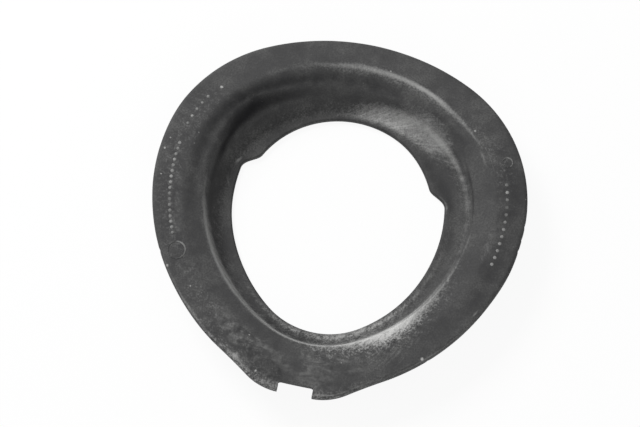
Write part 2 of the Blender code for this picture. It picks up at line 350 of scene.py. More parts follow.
def placePad():
    # the loft's points in millimetres: stations by section points, with angle and place of each
    angles, notchCount = stationAngles()
    beside = angles[notchCount - 1] - padShape["notchAngle"]
    nickFrom, nickTo = wearShape["nickPlaces"]
    coords, turns, places = [], [], []
    for angle in angles:
        points = sectionAt(angle)
        cos, sin = math.cos(math.radians(angle)), math.sin(math.radians(angle))
        rimAcross = rimReach(angle) * cos
        track, rim = reachOf["track"](angle), rimReach(angle)
        straightEnd = rim - padShape["notchDepth"] - padShape["besideRoom"]
        past = angleBetween(angle, padShape["notchAngle"]) - beside
        near = ease(1.0 - past / padShape["besideFade"])
        nick = sum(depth * ease(1.0 - angleBetween(angle, at) / width)
                   for at, width, depth in wearShape["rimNicks"])
        for reach, height, place in points:
            if nickFrom < place < nickTo:
                reach -= nick * ease(1.0 - abs(place - wearShape["nickMiddle"]) / wearShape["nickReach"])
            x, y = reach * cos, reach * sin
            share = near * ease((reach - track) / (straightEnd - track))
            x += (rimAcross - x) * share
            coords.append((x, y, height))
            turns.append(angle % 360.0)
            places.append(place)
    shaped = (len(angles), len(coords) // len(angles))
    turns, places = [np.array(values).reshape(shaped) for values in (turns, places)]
    return np.array(coords).reshape(*shaped, 3), turns, places, notchCount


def unevenRubber(coords):
    # the top and the collar are a little wavy, never raised, so that the pad stays inside its box
    size = wearShape["unevenSize"]
    for station in range(coords.shape[0]):
        for point in range(coords.shape[1]):
            x, y, z = coords[station, point]
            if z > wearShape["levelBelow"]:
                spot = Vector((x / size, y / size, z / size + wearShape["unevenStart"]))
                coords[station, point, 2] -= wearShape["unevenness"] * (0.5 + 0.5 * noise.noise(spot))


reliefMarks = {                 # plain raised pips and rings on the track, millimetres and degrees
    "baseDrop": 0.08,           # their base lies this far under the track
    "footDepth": 0.12,          # their feet reach this much further down
    "pipHeight": 0.21,
    "pipRings": 3,
    "pipSides": 9,
    "pipScuffAndHighlight": 0.72,            # how pale they are painted, partly scuff and partly painted highlight
    "ringWear": 0.62,           # the same for the rings, at their most worn side
    "wornSide": 35.0,           # which way that side looks, degrees
    "wearPatch": 5.0,           # size of the more and less worn patches
    "place": 4.5,
    "ringSides": 40,
    "ringProfile": (            # share of the half width, height above the base
        (-1.0, -0.12), (-0.6, 0.15), (0.0, 0.21), (0.6, 0.15), (1.0, -0.12),
    ),
    "rows": (                   # from angle, to angle, number, share from shoulder to rim, pip radius
        (168.5, 201.5, 17, 0.40, 0.85),
        (149.5, 161.0, 5, 0.42, 0.75),
        (351.0, 380.0, 12, 0.36, 0.85),
    ),
    "rings": (                  # angle, share from shoulder to rim, radius, half width
        (208.0, 0.42, 3.9, 0.42),
        (387.5, 0.52, 2.3, 0.36),
    ),
}


def onTrack(angle, share):
    track, rim = reachOf["track"](angle), rimReach(angle)
    return heading(angle) * (track + share * (rim - track))


def addPip(bm, spot, base, radius):
    sides, rings = reliefMarks["pipSides"], reliefMarks["pipRings"]
    height, foot = reliefMarks["pipHeight"], reliefMarks["footDepth"]
    loops = []
    for ring in range(rings):
        lean = ring / rings * math.pi / 2.0
        size = radius * math.cos(lean)
        z = base - foot + (height + foot) * math.sin(lean)
        around = [spot + heading(360.0 * side / sides) * size for side in range(sides)]
        loops.append([bm.verts.new((p.x, p.y, z)) for p in around])
    tip = bm.verts.new((spot.x, spot.y, base + height))
    for lower, upper in zip(loops, loops[1:]):
        for side in range(sides):
            bm.faces.new((lower[side], lower[(side + 1) % sides], upper[(side + 1) % sides], upper[side]))
    for side in range(sides):
        bm.faces.new((loops[-1][side], loops[-1][(side + 1) % sides], tip))
    bm.faces.new(loops[0][::-1])
    return [vert for loop in loops for vert in loop] + [tip]


def addRing(bm, spot, base, radius, half):
    sides = reliefMarks["ringSides"]
    profile = [(across * half, up) for across, up in reliefMarks["ringProfile"]]
    loops = []
    for side in range(sides):
        across = [(spot + heading(360.0 * side / sides) * (radius + off), base + up) for off, up in profile]
        loops.append([bm.verts.new((p.x, p.y, z)) for p, z in across])
    for side in range(sides):
        here, there = loops[side], loops[(side + 1) % sides]
        for step in range(len(profile)):
            after = (step + 1) % len(profile)
            bm.faces.new((here[step], there[step], there[after], here[after]))
    return [vert for loop in loops for vert in loop]


def raiseMarks(bm, turnLayer, placeLayer, wornAndHighlightLayer):
    base = padTop() - reliefMarks["baseDrop"]
    raised = []
    for first, last, number, share, radius in reliefMarks["rows"]:
        for index in range(number):
            spot = onTrack(first + (last - first) * index / (number - 1), share)
            raised += [(vert, reliefMarks["pipScuffAndHighlight"]) for vert in addPip(bm, spot, base, radius)]
    wornWay = heading(reliefMarks["wornSide"])
    for angle, share, radius, half in reliefMarks["rings"]:
        spot = onTrack(angle, share)
        for vert in addRing(bm, spot, base, radius, half):
            facing = (vert.co.xy - spot).normalized().dot(wornWay)
            raised.append((vert, reliefMarks["ringWear"] * (0.5 + 0.5 * facing)))
    # the marks are painted pale: scuffs on the rings, scuff and painted highlight on the pips
    for vert, wear in raised:
        vert[turnLayer] = turnOf(vert.co.xy)
        vert[placeLayer] = reliefMarks["place"]
        vert[wornAndHighlightLayer] = wear * (0.8 + 0.6 * noise.noise(vert.co / reliefMarks["wearPatch"]))


def buildPad():
    coords, turns, places, notchCount = placePad()
    unevenRubber(coords)
    stations, count = turns.shape
    bm = bmesh.new()
    turnLayer = bm.verts.layers.float.new("turn")
    placeLayer = bm.verts.layers.float.new("place")
    wornAndHighlightLayer = bm.verts.layers.float.new("wornAndHighlight")
    verts = []
    for s in range(stations):
        verts.append([bm.verts.new(coords[s, p]) for p in range(count)])
        for p, vert in enumerate(verts[-1]):
            vert[turnLayer] = turns[s, p]
            vert[placeLayer] = places[s, p]
    topFloor = pointNumber(shoulderCorner, cornerPlan["between"][shoulderCorner] - 1)
    underFloor = pointNumber(rootCorner, 1)

    for s in range(stations):
        after = (s + 1) % stations
        for p in range(count):
            if s < notchCount - 1 and topFloor <= p < underFloor:
                continue                          # open where the notch goes through
            q = (p + 1) % count
            bm.faces.new((verts[s][p], verts[after][p], verts[after][q], verts[s][q]))

    # floor of the notch, and its two inner corners
    lastInNotch = notchCount - 1
    for s in range(lastInNotch):
        bm.faces.new((verts[s][topFloor], verts[s + 1][topFloor],
                      verts[s + 1][underFloor], verts[s][underFloor]))
    inset = padShape["notchCorner"] * (1.0 - math.sqrt(0.5))
    for s, side in ((0, 1.0), (lastInNotch, -1.0)):
        for p in (topFloor, underFloor, underFloor - 1):
            verts[s][p].co += Vector((side * inset if p != underFloor - 1 else 0.0, -inset, 0.0))
        underEnd = underFloor - 3
        corner = (topFloor, topFloor + 1, underEnd, underEnd + 1, underEnd + 2, underFloor)
        bm.faces.new([verts[s][p] for p in corner])
        bm.faces.new([verts[s][p] for p in range(topFloor + 1, underEnd + 1)])
    for s in range(1, lastInNotch):
        for p in range(topFloor + 1, underFloor):
            bm.verts.remove(verts[s][p])
    bmesh.ops.recalc_face_normals(bm, faces=bm.faces)

    # round the cut edges a little, all but the hidden ones underneath
    cut = [bm.edges.get((verts[s][topFloor], verts[s + 1][topFloor])) for s in range(lastInNotch)]
    for s in (0, lastInNotch):
        cut += [bm.edges.get((verts[s][p], verts[s][p + 1]))
                for p in range(topFloor, pointNumber(lipCorner, 0))]
    cut = [edge for edge in cut if edge]
    bmesh.ops.bevel(bm, geom=cut, offset=padShape["cutRound"], segments=padShape["cutSteps"],
                    profile=0.5, affect="EDGES", clamp_overlap=True)
    raiseMarks(bm, turnLayer, placeLayer, wornAndHighlightLayer)
    bmesh.ops.recalc_face_normals(bm, faces=bm.faces)

    shift = Vector((0.0, padShape["middleShift"], padShape["lift"]))
    for vert in bm.verts:
        vert.co = (vert.co + shift) * mm
    mesh = bpy.data.meshes.new("springPad")
    bm.to_mesh(mesh)
    bm.free()
    mesh.shade_smooth()
    mesh.set_sharp_from_angle(angle=math.radians(padShape["sharpAngle"]))
    pad = bpy.data.objects.new("springPad", mesh)
    bpy.context.collection.objects.link(pad)
    triangles = sum(len(face.vertices) - 2 for face in mesh.polygons)
    print("pad lofted:", len(mesh.vertices), "points,", triangles, "triangles")
    return pad


# each stroke runs along the ring through its knots: angle, place in the section, half width there, strength
# the places are 1 hole edge, 2 foot of the wall, 3 crest, 4 shoulder, 5 rim
strokes = {
    # dust, with painted light in some of the strokes
    "dustAndPaintedLight": (
        ((110, 1.5, 0.4, 0.0), (98, 1.6, 0.6, 0.2), (88, 1.72, 0.95, 0.44), (78, 1.95, 1.14, 0.54),
         (68, 2.18, 1.22, 0.58), (58, 2.42, 1.18, 0.6), (49, 2.42, 0.96, 0.62), (40, 2.42, 0.66, 0.52),
         (30, 2.4, 0.58, 0.38), (18, 2.38, 0.6, 0.27), (5, 2.42, 0.62, 0.2), (-15, 2.55, 0.6, 0.18),
         (-35, 2.6, 0.55, 0.2), (-55, 2.65, 0.45, 0.0)),
        # near crest: dust and a painted highlight
        ((246, 2.58, 0.5, 0.0), (256, 2.56, 0.66, 0.38), (267, 2.56, 0.76, 0.56), (279, 2.72, 0.8, 0.65),
         (290, 2.94, 0.88, 0.71), (300, 3.08, 0.92, 0.92), (309, 3.1, 0.88, 0.9), (318, 3.02, 0.78, 0.62),
         (330, 2.95, 0.6, 0.38), (345, 2.85, 0.55, 0.22), (362, 2.8, 0.5, 0.0)),
        ((222, 1.4, 0.5, 0.08), (240, 1.45, 0.62, 0.24), (256, 1.42, 0.78, 0.32), (270, 1.42, 0.84, 0.4),
         (280, 1.44, 0.92, 0.57), (294, 1.42, 0.84, 0.6), (308, 1.5, 0.78, 0.5), (322, 1.52, 0.66, 0.32),
         (340, 1.5, 0.55, 0.22), (365, 1.55, 0.5, 0.1), (385, 1.6, 0.4, 0.0)),
        # near wall: dust and painted light
        ((172, 2.7, 0.3, 0.0), (188, 2.66, 0.4, 0.16), (204, 2.54, 0.52, 0.34), (224, 2.44, 0.66, 0.44),
         (246, 2.48, 0.7, 0.46), (262, 2.52, 0.74, 0.62), (280, 2.52, 0.82, 0.74), (300, 2.52, 0.86, 0.76),
         (320, 2.52, 0.74, 0.54), (342, 2.5, 0.56, 0.2), (362, 2.5, 0.4, 0.0)),
        ((118, 3.9, 0.24, 0.0), (105, 3.85, 0.28, 0.12), (86, 3.8, 0.34, 0.18), (66, 3.78, 0.34, 0.24),
         (52, 3.82, 0.3, 0.18), (38, 3.86, 0.24, 0.0)),
        ((346, 3.98, 0.3, 0.0), (356, 4.05, 0.34, 0.22), (366, 4.05, 0.28, 0.0)),
        ((282, 4.2, 0.6, 0.0), (296, 4.2, 0.85, 0.13), (312, 4.2, 0.85, 0.13), (328, 4.1, 0.6, 0.0)),
        ((214, 5.2, 0.35, 0.0), (230, 5.2, 0.5, 0.2), (244, 5.2, 0.5, 0.22), (250, 5.15, 0.5, 0.3),
         (256, 5.15, 0.55, 0.26), (265, 5.1, 0.55, 0.26)),
        ((274, 5.15, 0.45, 0.3), (284, 5.2, 0.4, 0.24), (310, 5.3, 0.4, 0.16), (335, 5.3, 0.3, 0.0)),
        # painted light in the shade at the foot of the wall
        ((92, 1.8, 0.5, 0.0), (105, 1.85, 0.6, 0.15), (125, 1.78, 0.52, 0.14), (150, 1.7, 0.5, 0.16),
         (178, 1.72, 0.5, 0.13), (205, 2.1, 0.5, 0.12), (225, 2.1, 0.5, 0.12), (245, 1.9, 0.5, 0.0)),
    ),
    # painted highlights along the crest, on the rim's edge and beside the two steps; partly scuff and partly
    # painted highlight along the shoulder; small scuffs elsewhere
    "scuffAndHighlight": (
        ((34, 3.9, 0.08, 0.0), (42, 3.88, 0.16, 0.4), (50, 3.9, 0.2, 0.54), (58, 3.93, 0.2, 0.74),
         (62, 3.95, 0.17, 0.92), (67, 3.95, 0.15, 1.0), (73, 3.95, 0.15, 0.8), (82, 3.95, 0.16, 0.85),
         (92, 3.95, 0.2, 0.66), (102, 3.95, 0.18, 0.4), (114, 4.0, 0.22, 0.22), (128, 4.05, 0.22, 0.1),
         (140, 4.05, 0.2, 0.0)),
        ((168, 3.02, 0.09, 0.0), (178, 2.9, 0.26, 0.32), (190, 2.86, 0.38, 0.58), (204, 2.86, 0.44, 0.82),
         (222, 2.86, 0.44, 0.82), (240, 2.88, 0.4, 0.6), (256, 2.86, 0.38, 0.62), (272, 2.88, 0.34, 0.66),
         (286, 2.96, 0.22, 0.58), (300, 3.02, 0.12, 0.5), (320, 3.02, 0.13, 0.42), (340, 3.02, 0.15, 0.32),
         (358, 3.04, 0.16, 0.2), (372, 3.08, 0.14, 0.0)),
        ((196, 3.06, 0.05, 0.0), (206, 3.04, 0.06, 0.28), (228, 3.05, 0.06, 0.3), (250, 3.1, 0.06, 0.0)),
        ((204, 5.0, 0.08, 0.0), (214, 5.0, 0.1, 0.32), (226, 4.99, 0.12, 0.38), (236, 4.98, 0.13, 0.42),
         (244, 4.95, 0.13, 0.45), (248.2, 4.92, 0.13, 0.5), (249.6, 4.87, 0.2, 1.0),
         (251, 4.91, 0.14, 0.5), (256, 4.92, 0.15, 0.42), (262, 4.91, 0.18, 0.42), (266, 4.9, 0.18, 0.38)),
        ((274, 4.93, 0.1, 0.4), (281, 4.95, 0.08, 0.5), (296, 4.98, 0.06, 0.45), (312, 5.0, 0.06, 0.5),
         (330, 5.0, 0.06, 0.3), (345, 5.0, 0.05, 0.0)),
        ((26, 3.74, 0.04, 0.0), (33, 3.76, 0.05, 0.42), (41, 3.86, 0.05, 0.3), (46, 3.9, 0.04, 0.0)),
        ((24, 4.06, 0.03, 0.0), (31, 4.06, 0.04, 0.4), (40, 4.04, 0.04, 0.0)),
        ((84, 4.06, 0.04, 0.0), (87, 4.07, 0.05, 0.5), (91, 4.08, 0.04, 0.0)),
        ((30, 4.2, 0.05, 0.0), (34, 4.22, 0.07, 0.22), (38, 4.2, 0.05, 0.0)),
        ((330, 4.82, 0.04, 0.0), (333, 4.85, 0.05, 0.6), (336, 4.88, 0.04, 0.0)),
        ((155, 1.5, 0.15, 0.0), (159, 1.52, 0.32, 0.75), (163, 1.55, 0.2, 0.0)),
        ((268, 5.0, 0.3, 0.0), (285, 5.0, 0.32, 0.24), (310, 5.0, 0.32, 0.22), (338, 5.0, 0.3, 0.1),
         (352, 5.0, 0.3, 0.0)),
        ((15, 1.15, 0.15, 0.0), (19, 1.15, 0.26, 0.5), (23, 1.15, 0.18, 0.25), (28, 1.1, 0.12, 0.0)),
    ),
    # painted shade, darkest on the upper-left wall, fainter in the dish, on the flanges, along the foot of
    # the wall and at the hole's edge
    "paintedShade": (
        ((100, 2.75, 0.45, 0.0), (112, 2.8, 0.45, 0.22), (124, 2.88, 0.5, 0.6), (136, 2.98, 0.62, 1.0),
         (149, 2.86, 0.6, 1.0), (160, 2.58, 0.56, 0.95), (170, 2.36, 0.42, 0.5), (186, 2.34, 0.3, 0.2),
         (205, 2.25, 0.26, 0.12), (235, 2.1, 0.26, 0.0)),
        ((64, 3.3, 0.3, 0.0), (82, 3.35, 0.42, 0.38), (100, 3.35, 0.48, 0.48), (118, 3.4, 0.5, 0.6),
         (140, 3.5, 0.62, 0.8), (158, 3.55, 0.52, 0.5), (180, 3.55, 0.4, 0.3), (200, 3.6, 0.3, 0.0)),
        ((-38, 4.55, 0.4, 0.0), (-22, 4.55, 0.55, 0.22), (0, 4.55, 0.6, 0.34), (20, 4.6, 0.6, 0.28),
         (38, 4.6, 0.45, 0.1), (52, 4.6, 0.4, 0.0)),
        ((8, 1.45, 0.35, 0.0), (18, 1.45, 0.4, 0.2), (30, 1.48, 0.42, 0.26), (44, 1.38, 0.38, 0.3),
         (56, 1.28, 0.3, 0.0)),
        ((150, 4.5, 0.6, 0.0), (175, 4.5, 0.75, 0.1), (205, 4.5, 0.8, 0.15), (232, 4.5, 0.75, 0.12),
         (250, 4.5, 0.6, 0.0)),
        ((0, 2.96, 0.06, 0.0), (12, 2.94, 0.09, 0.5), (26, 2.96, 0.09, 0.6), (36, 3.02, 0.08, 0.0)),
        ((30, 3.2, 0.2, 0.0), (42, 3.22, 0.32, 0.3), (60, 3.25, 0.36, 0.4), (75, 3.28, 0.34, 0.0)),
        ((244, 4.5, 0.4, 0.0), (252, 4.45, 0.5, 0.3), (262, 4.55, 0.5, 0.4), (268, 4.6, 0.4, 0.1)),
        ((236, 2.0, 0.2, 0.0), (250, 1.98, 0.24, 0.3), (268, 1.98, 0.24, 0.35), (284, 1.98, 0.18, 0.15),
         (306, 2.0, 0.16, 0.12), (325, 2.0, 0.1, 0.0)),
        ((0, 1.02, 0.08, 0.35), (90, 1.02, 0.08, 0.45), (180, 1.02, 0.08, 0.55), (240, 1.02, 0.08, 0.3),
         (262, 1.02, 0.08, 0.05), (300, 1.02, 0.08, 0.05), (330, 1.02, 0.08, 0.25),
         (360, 1.02, 0.08, 0.35)),
    ),
    "grain": (
        ((236, 1.5, 0.55, 0.0), (256, 1.5, 0.65, 0.55), (284, 1.5, 0.65, 1.0), (308, 1.5, 0.65, 0.75),
         (335, 1.5, 0.5, 0.0)),
        ((30, 4.0, 0.2, 0.0), (45, 3.95, 0.3, 0.22), (70, 3.95, 0.3, 0.25), (110, 3.95, 0.25, 0.0)),
        ((262, 3.1, 0.5, 0.0), (276, 3.35, 0.75, 0.75), (292, 3.5, 0.85, 0.9), (306, 3.55, 0.85, 1.0),
         (322, 3.45, 0.65, 0.6), (345, 3.3, 0.5, 0.15), (360, 3.3, 0.5, 0.0)),
        ((108, 1.6, 0.6, 0.0), (90, 1.8, 0.9, 0.25), (60, 2.1, 0.9, 0.15), (35, 2.2, 0.6, 0.0)),
        ((140, 4.2, 0.6, 0.0), (152, 4.35, 0.7, 0.35), (175, 4.45, 0.7, 0.3), (205, 4.45, 0.7, 0.25),
         (235, 4.3, 0.8, 0.3), (250, 4.2, 0.8, 0.45), (262, 4.2, 0.6, 0.0)),
        ((10, 4.2, 0.4, 0.0), (24, 4.35, 0.6, 0.35), (38, 4.2, 0.5, 0.35), (50, 4.1, 0.4, 0.0)),
        ((222, 5.1, 0.4, 0.0), (236, 5.05, 0.6, 0.45), (250, 5.05, 0.7, 0.8), (268, 5.05, 0.6, 0.6),
         (275, 5.05, 0.6, 0.6), (300, 5.1, 0.4, 0.0)),
    ),
    "patches": (
        ((222, 4.2, 0.6, 0.0), (236, 4.1, 0.8, 0.55), (250, 4.2, 0.95, 1.0), (262, 4.25, 0.95, 1.0),
         (275, 4.2, 0.95, 0.9), (288, 4.1, 0.9, 0.6), (305, 4.0, 0.8, 0.25), (320, 4.0, 0.6, 0.0)),
        ((50, 3.4, 0.4, 0.0), (70, 3.35, 0.55, 0.3), (95, 3.35, 0.6, 0.4), (112, 3.3, 0.6, 0.3),
         (135, 3.3, 0.5, 0.0)),
        ((340, 4.0, 0.5, 0.0), (354, 4.0, 0.7, 0.45), (372, 4.1, 0.6, 0.3), (385, 4.1, 0.4, 0.0)),
        ((150, 4.4, 0.5, 0.0), (175, 4.4, 0.7, 0.35), (210, 4.4, 0.7, 0.35), (230, 4.3, 0.6, 0.0)),
    ),
}


def paintStrokes(turn, place, knotLists):
    # strongest stroke at each point, soft at its sides and ends
    turn, place = np.asarray(turn, float), np.asarray(place, float)
    total = np.zeros(len(turn))
    for knots in knotLists:
        angles, *fields = np.transpose(sorted(knots))
        for around in (-360.0, 0.0, 360.0):
            at = turn + around
            middle, half, strength = [np.interp(at, angles, field) for field in fields]
            inside = (at >= angles[0]) & (at <= angles[-1])
            side = np.clip(1.0 - np.abs(place - middle) / half, 0.0, 1.0)
            total = np.maximum(total, inside * strength * side * side * (3.0 - 2.0 * side))
    return total


ringWays = {                    # how the fine streaks lie
    "radius": 0.07,             # taken for all of the ring, metres
    "swirl": 26.0,              # radians that the brushing turns for each metre outwards
}


def addMasks(pad):
    # a value for each point and finish, and the two ways that streaks run
    mesh = pad.data
    count = len(mesh.vertices)
    turn, place, wornAndHighlight = [np.empty(count, np.float32) for layer in range(3)]
    for name, values in (("turn", turn), ("place", place), ("wornAndHighlight", wornAndHighlight)):
        mesh.attributes[name].data.foreach_get("value", values)
    coords = np.empty(count * 3)
    mesh.vertices.foreach_get("co", coords)
    coords = coords.reshape(-1, 3)
    for name, knotLists in strokes.items():
        values = paintStrokes(turn, place, knotLists)
        if name == "scuffAndHighlight":
            values = np.maximum(values, wornAndHighlight)
        layer = mesh.attributes.new(name, "FLOAT", "POINT")
        layer.data.foreach_set("value", values.astype(np.float32))
        print("  mask", name, "painted on", np.count_nonzero(values), "points")
    across = np.hypot(coords[:, 0], coords[:, 1] - padShape["middleShift"] * mm)
    radius = ringWays["radius"]
    around = np.radians(turn)
    swirled = around + ringWays["swirl"] * (across - radius)
    for name, angle in (("ringWay", around), ("brushWay", swirled)):
        way = np.stack([across, radius * np.cos(angle), radius * np.sin(angle)], axis=1)
        layer = mesh.attributes.new(name, "FLOAT_VECTOR", "POINT")
        layer.data.foreach_set("vector", way.ravel())
    for name in ("turn", "place", "wornAndHighlight"):
        mesh.attributes.remove(mesh.attributes[name])
    print("masks done,", count, "points in all")


rubberLook = {
    "clean": (0.048, 0.048, 0.049),       # the rubber itself
    "aged": (0.095, 0.095, 0.094),        # where it has greyed
    "blackAndPaintedShade": (0.009, 0.009, 0.010),       # the darkest rubber, for black grains and cells, and the colour of the painted shade on the walls, in the dish, on the flanges and along the foot and the hole's edge
    # pale scuff colour, also used for the painted highlights and the pale grains
    "paleScuffAndHighlight": (0.30, 0.30, 0.295),
    # dust colour, also used for the painted light on the near crest and wall and at the foot of the wall
    "dustAndPaintedLight": (0.56, 0.56, 0.55),
    "bloom": (0.18, 0.18, 0.177),         # pale patches on the flange
    "speck": (0.34, 0.34, 0.335),
    "fleck": (0.5, 0.5, 0.49),
    "ior": 1.46,
    "specular": 0.12,
    "dustRough": 0.2,                     # how much rougher the dust is
    "scuffMix": (0.6, 0.4),               # streaks, grain
    "dustMix": (0.46, 0.26, 0.28),        # brushing, clumps, grain
    "dustFiner": 0.3,                     # more grain in that, where the grain mask is
    "scuffBreak": (0.9, 2.0, 0.0, 1.05),  # depth of the texture, and in the grain; mask from and to
    "dustBreak": (1.1, 2.6, 0.04, 1.10),
    "maskEdge": 0.10,                     # a mask under this strength fades out
    "grainDepth": 0.00008,
    "cellDepth": 0.00025,
}

clouds = {                                # scale for each metre, detail, roughness, distortion, way, stretch
    "mottle": (60.0, 4.0, 0.55, 0.0),
    "cells": (210.0, 4.0, 0.55, 0.3),
    "clumps": (430.0, 4.0, 0.65, 0.0),
    "grain": (1300.0, 2.0, 0.6, 0.0),
    "specks": (1100.0, 3.0, 0.7, 0.0),
    "fray": (900.0, 2.0, 0.5, 0.0),
    "streaks": (560.0, 3.0, 0.55, 0.0, "ringWay", (1.0, 0.14, 0.14)),
    "smears": (230.0, 4.0, 0.6, 0.8, "ringWay", (1.0, 0.38, 0.38)),
    "brushing": (480.0, 5.0, 0.68, 0.5, "brushWay", (0.30, 1.0, 1.0)),
}

ranges = {                                # cloud value from and to, and what that gives
    "mottled": (0.34, 0.66, 0.30, 1.0),
    "celled": (0.32, 0.66, 0.45, 1.0),
    "grained": (0.30, 0.70, 0.45, 1.3),
    "smeared": (0.48, 0.66, 0.05, 0.68),
    "clumped": (0.36, 0.62, 0.35, 1.0),
    "sunken": (0.50, 0.30, 0.0, 0.35),
    # how the cells break up the painted shade
    "paintedShade": (0.30, 0.60, 1.0, 0.9),
    "paleClumps": (0.46, 0.62, 0.0, 0.75),
    "paleGrain": (0.44, 0.62, 0.1, 1.0),
    "darkGrain": (0.46, 0.34, 0.0, 0.5),
    "specks": (0.66, 0.74, 0.0, 1.0),
    "speckAreas": (0.42, 0.66, 0.05, 0.45),
    "roughness": (0.35, 0.65, 0.60, 0.80),
}

flecks = {                                # single bright spots
    "spots": (                            # angle, share from shoulder to rim, size in mm, strength
        (143.9, 0.36, 1.0, 0.70), (162.0, -0.05, 0.7, 0.45), (166.4, -0.05, 0.7, 0.45),
        (168.1, 0.74, 0.6, 0.45), (171.9, 0.81, 0.8, 0.60), (180.7, 0.74, 0.6, 0.50),
        (212.1, 0.95, 1.3, 0.75), (222.0, 0.47, 0.6, 0.50), (249.5, -0.05, 0.8, 0.50),
        (257.2, 0.75, 0.7, 0.60), (310.3, 0.90, 1.3, 0.95), (343.9, 0.95, 0.6, 0.50),
        (14.7, 0.93, 0.7, 0.50), (42.2, 0.06, 0.8, 0.50), (81.2, 0.08, 0.7, 0.50), (284.0, 0.02, 0.6, 0.40),
    ),
    "rag": 0.0008,                        # how far noise frays their edges, metres
    "edge": (0.3, 0.8),                   # solid up to this share of the size, and gone at that one
}


def layOut(tree):
    # nodes in columns, each left of those that it feeds
    column = {node.name: 0 for node in tree.nodes}
    for sweep in range(len(column)):
        for link in tree.links:
            giver, taker = link.from_node.name, link.to_node.name
            column[giver] = max(column[giver], column[taker] + 1)
    filled = {}
    for name, place in column.items():
        filled[place] = filled.get(place, 0) + 1
        tree.nodes[name].location = (-200 * place, -300 * filled[place])


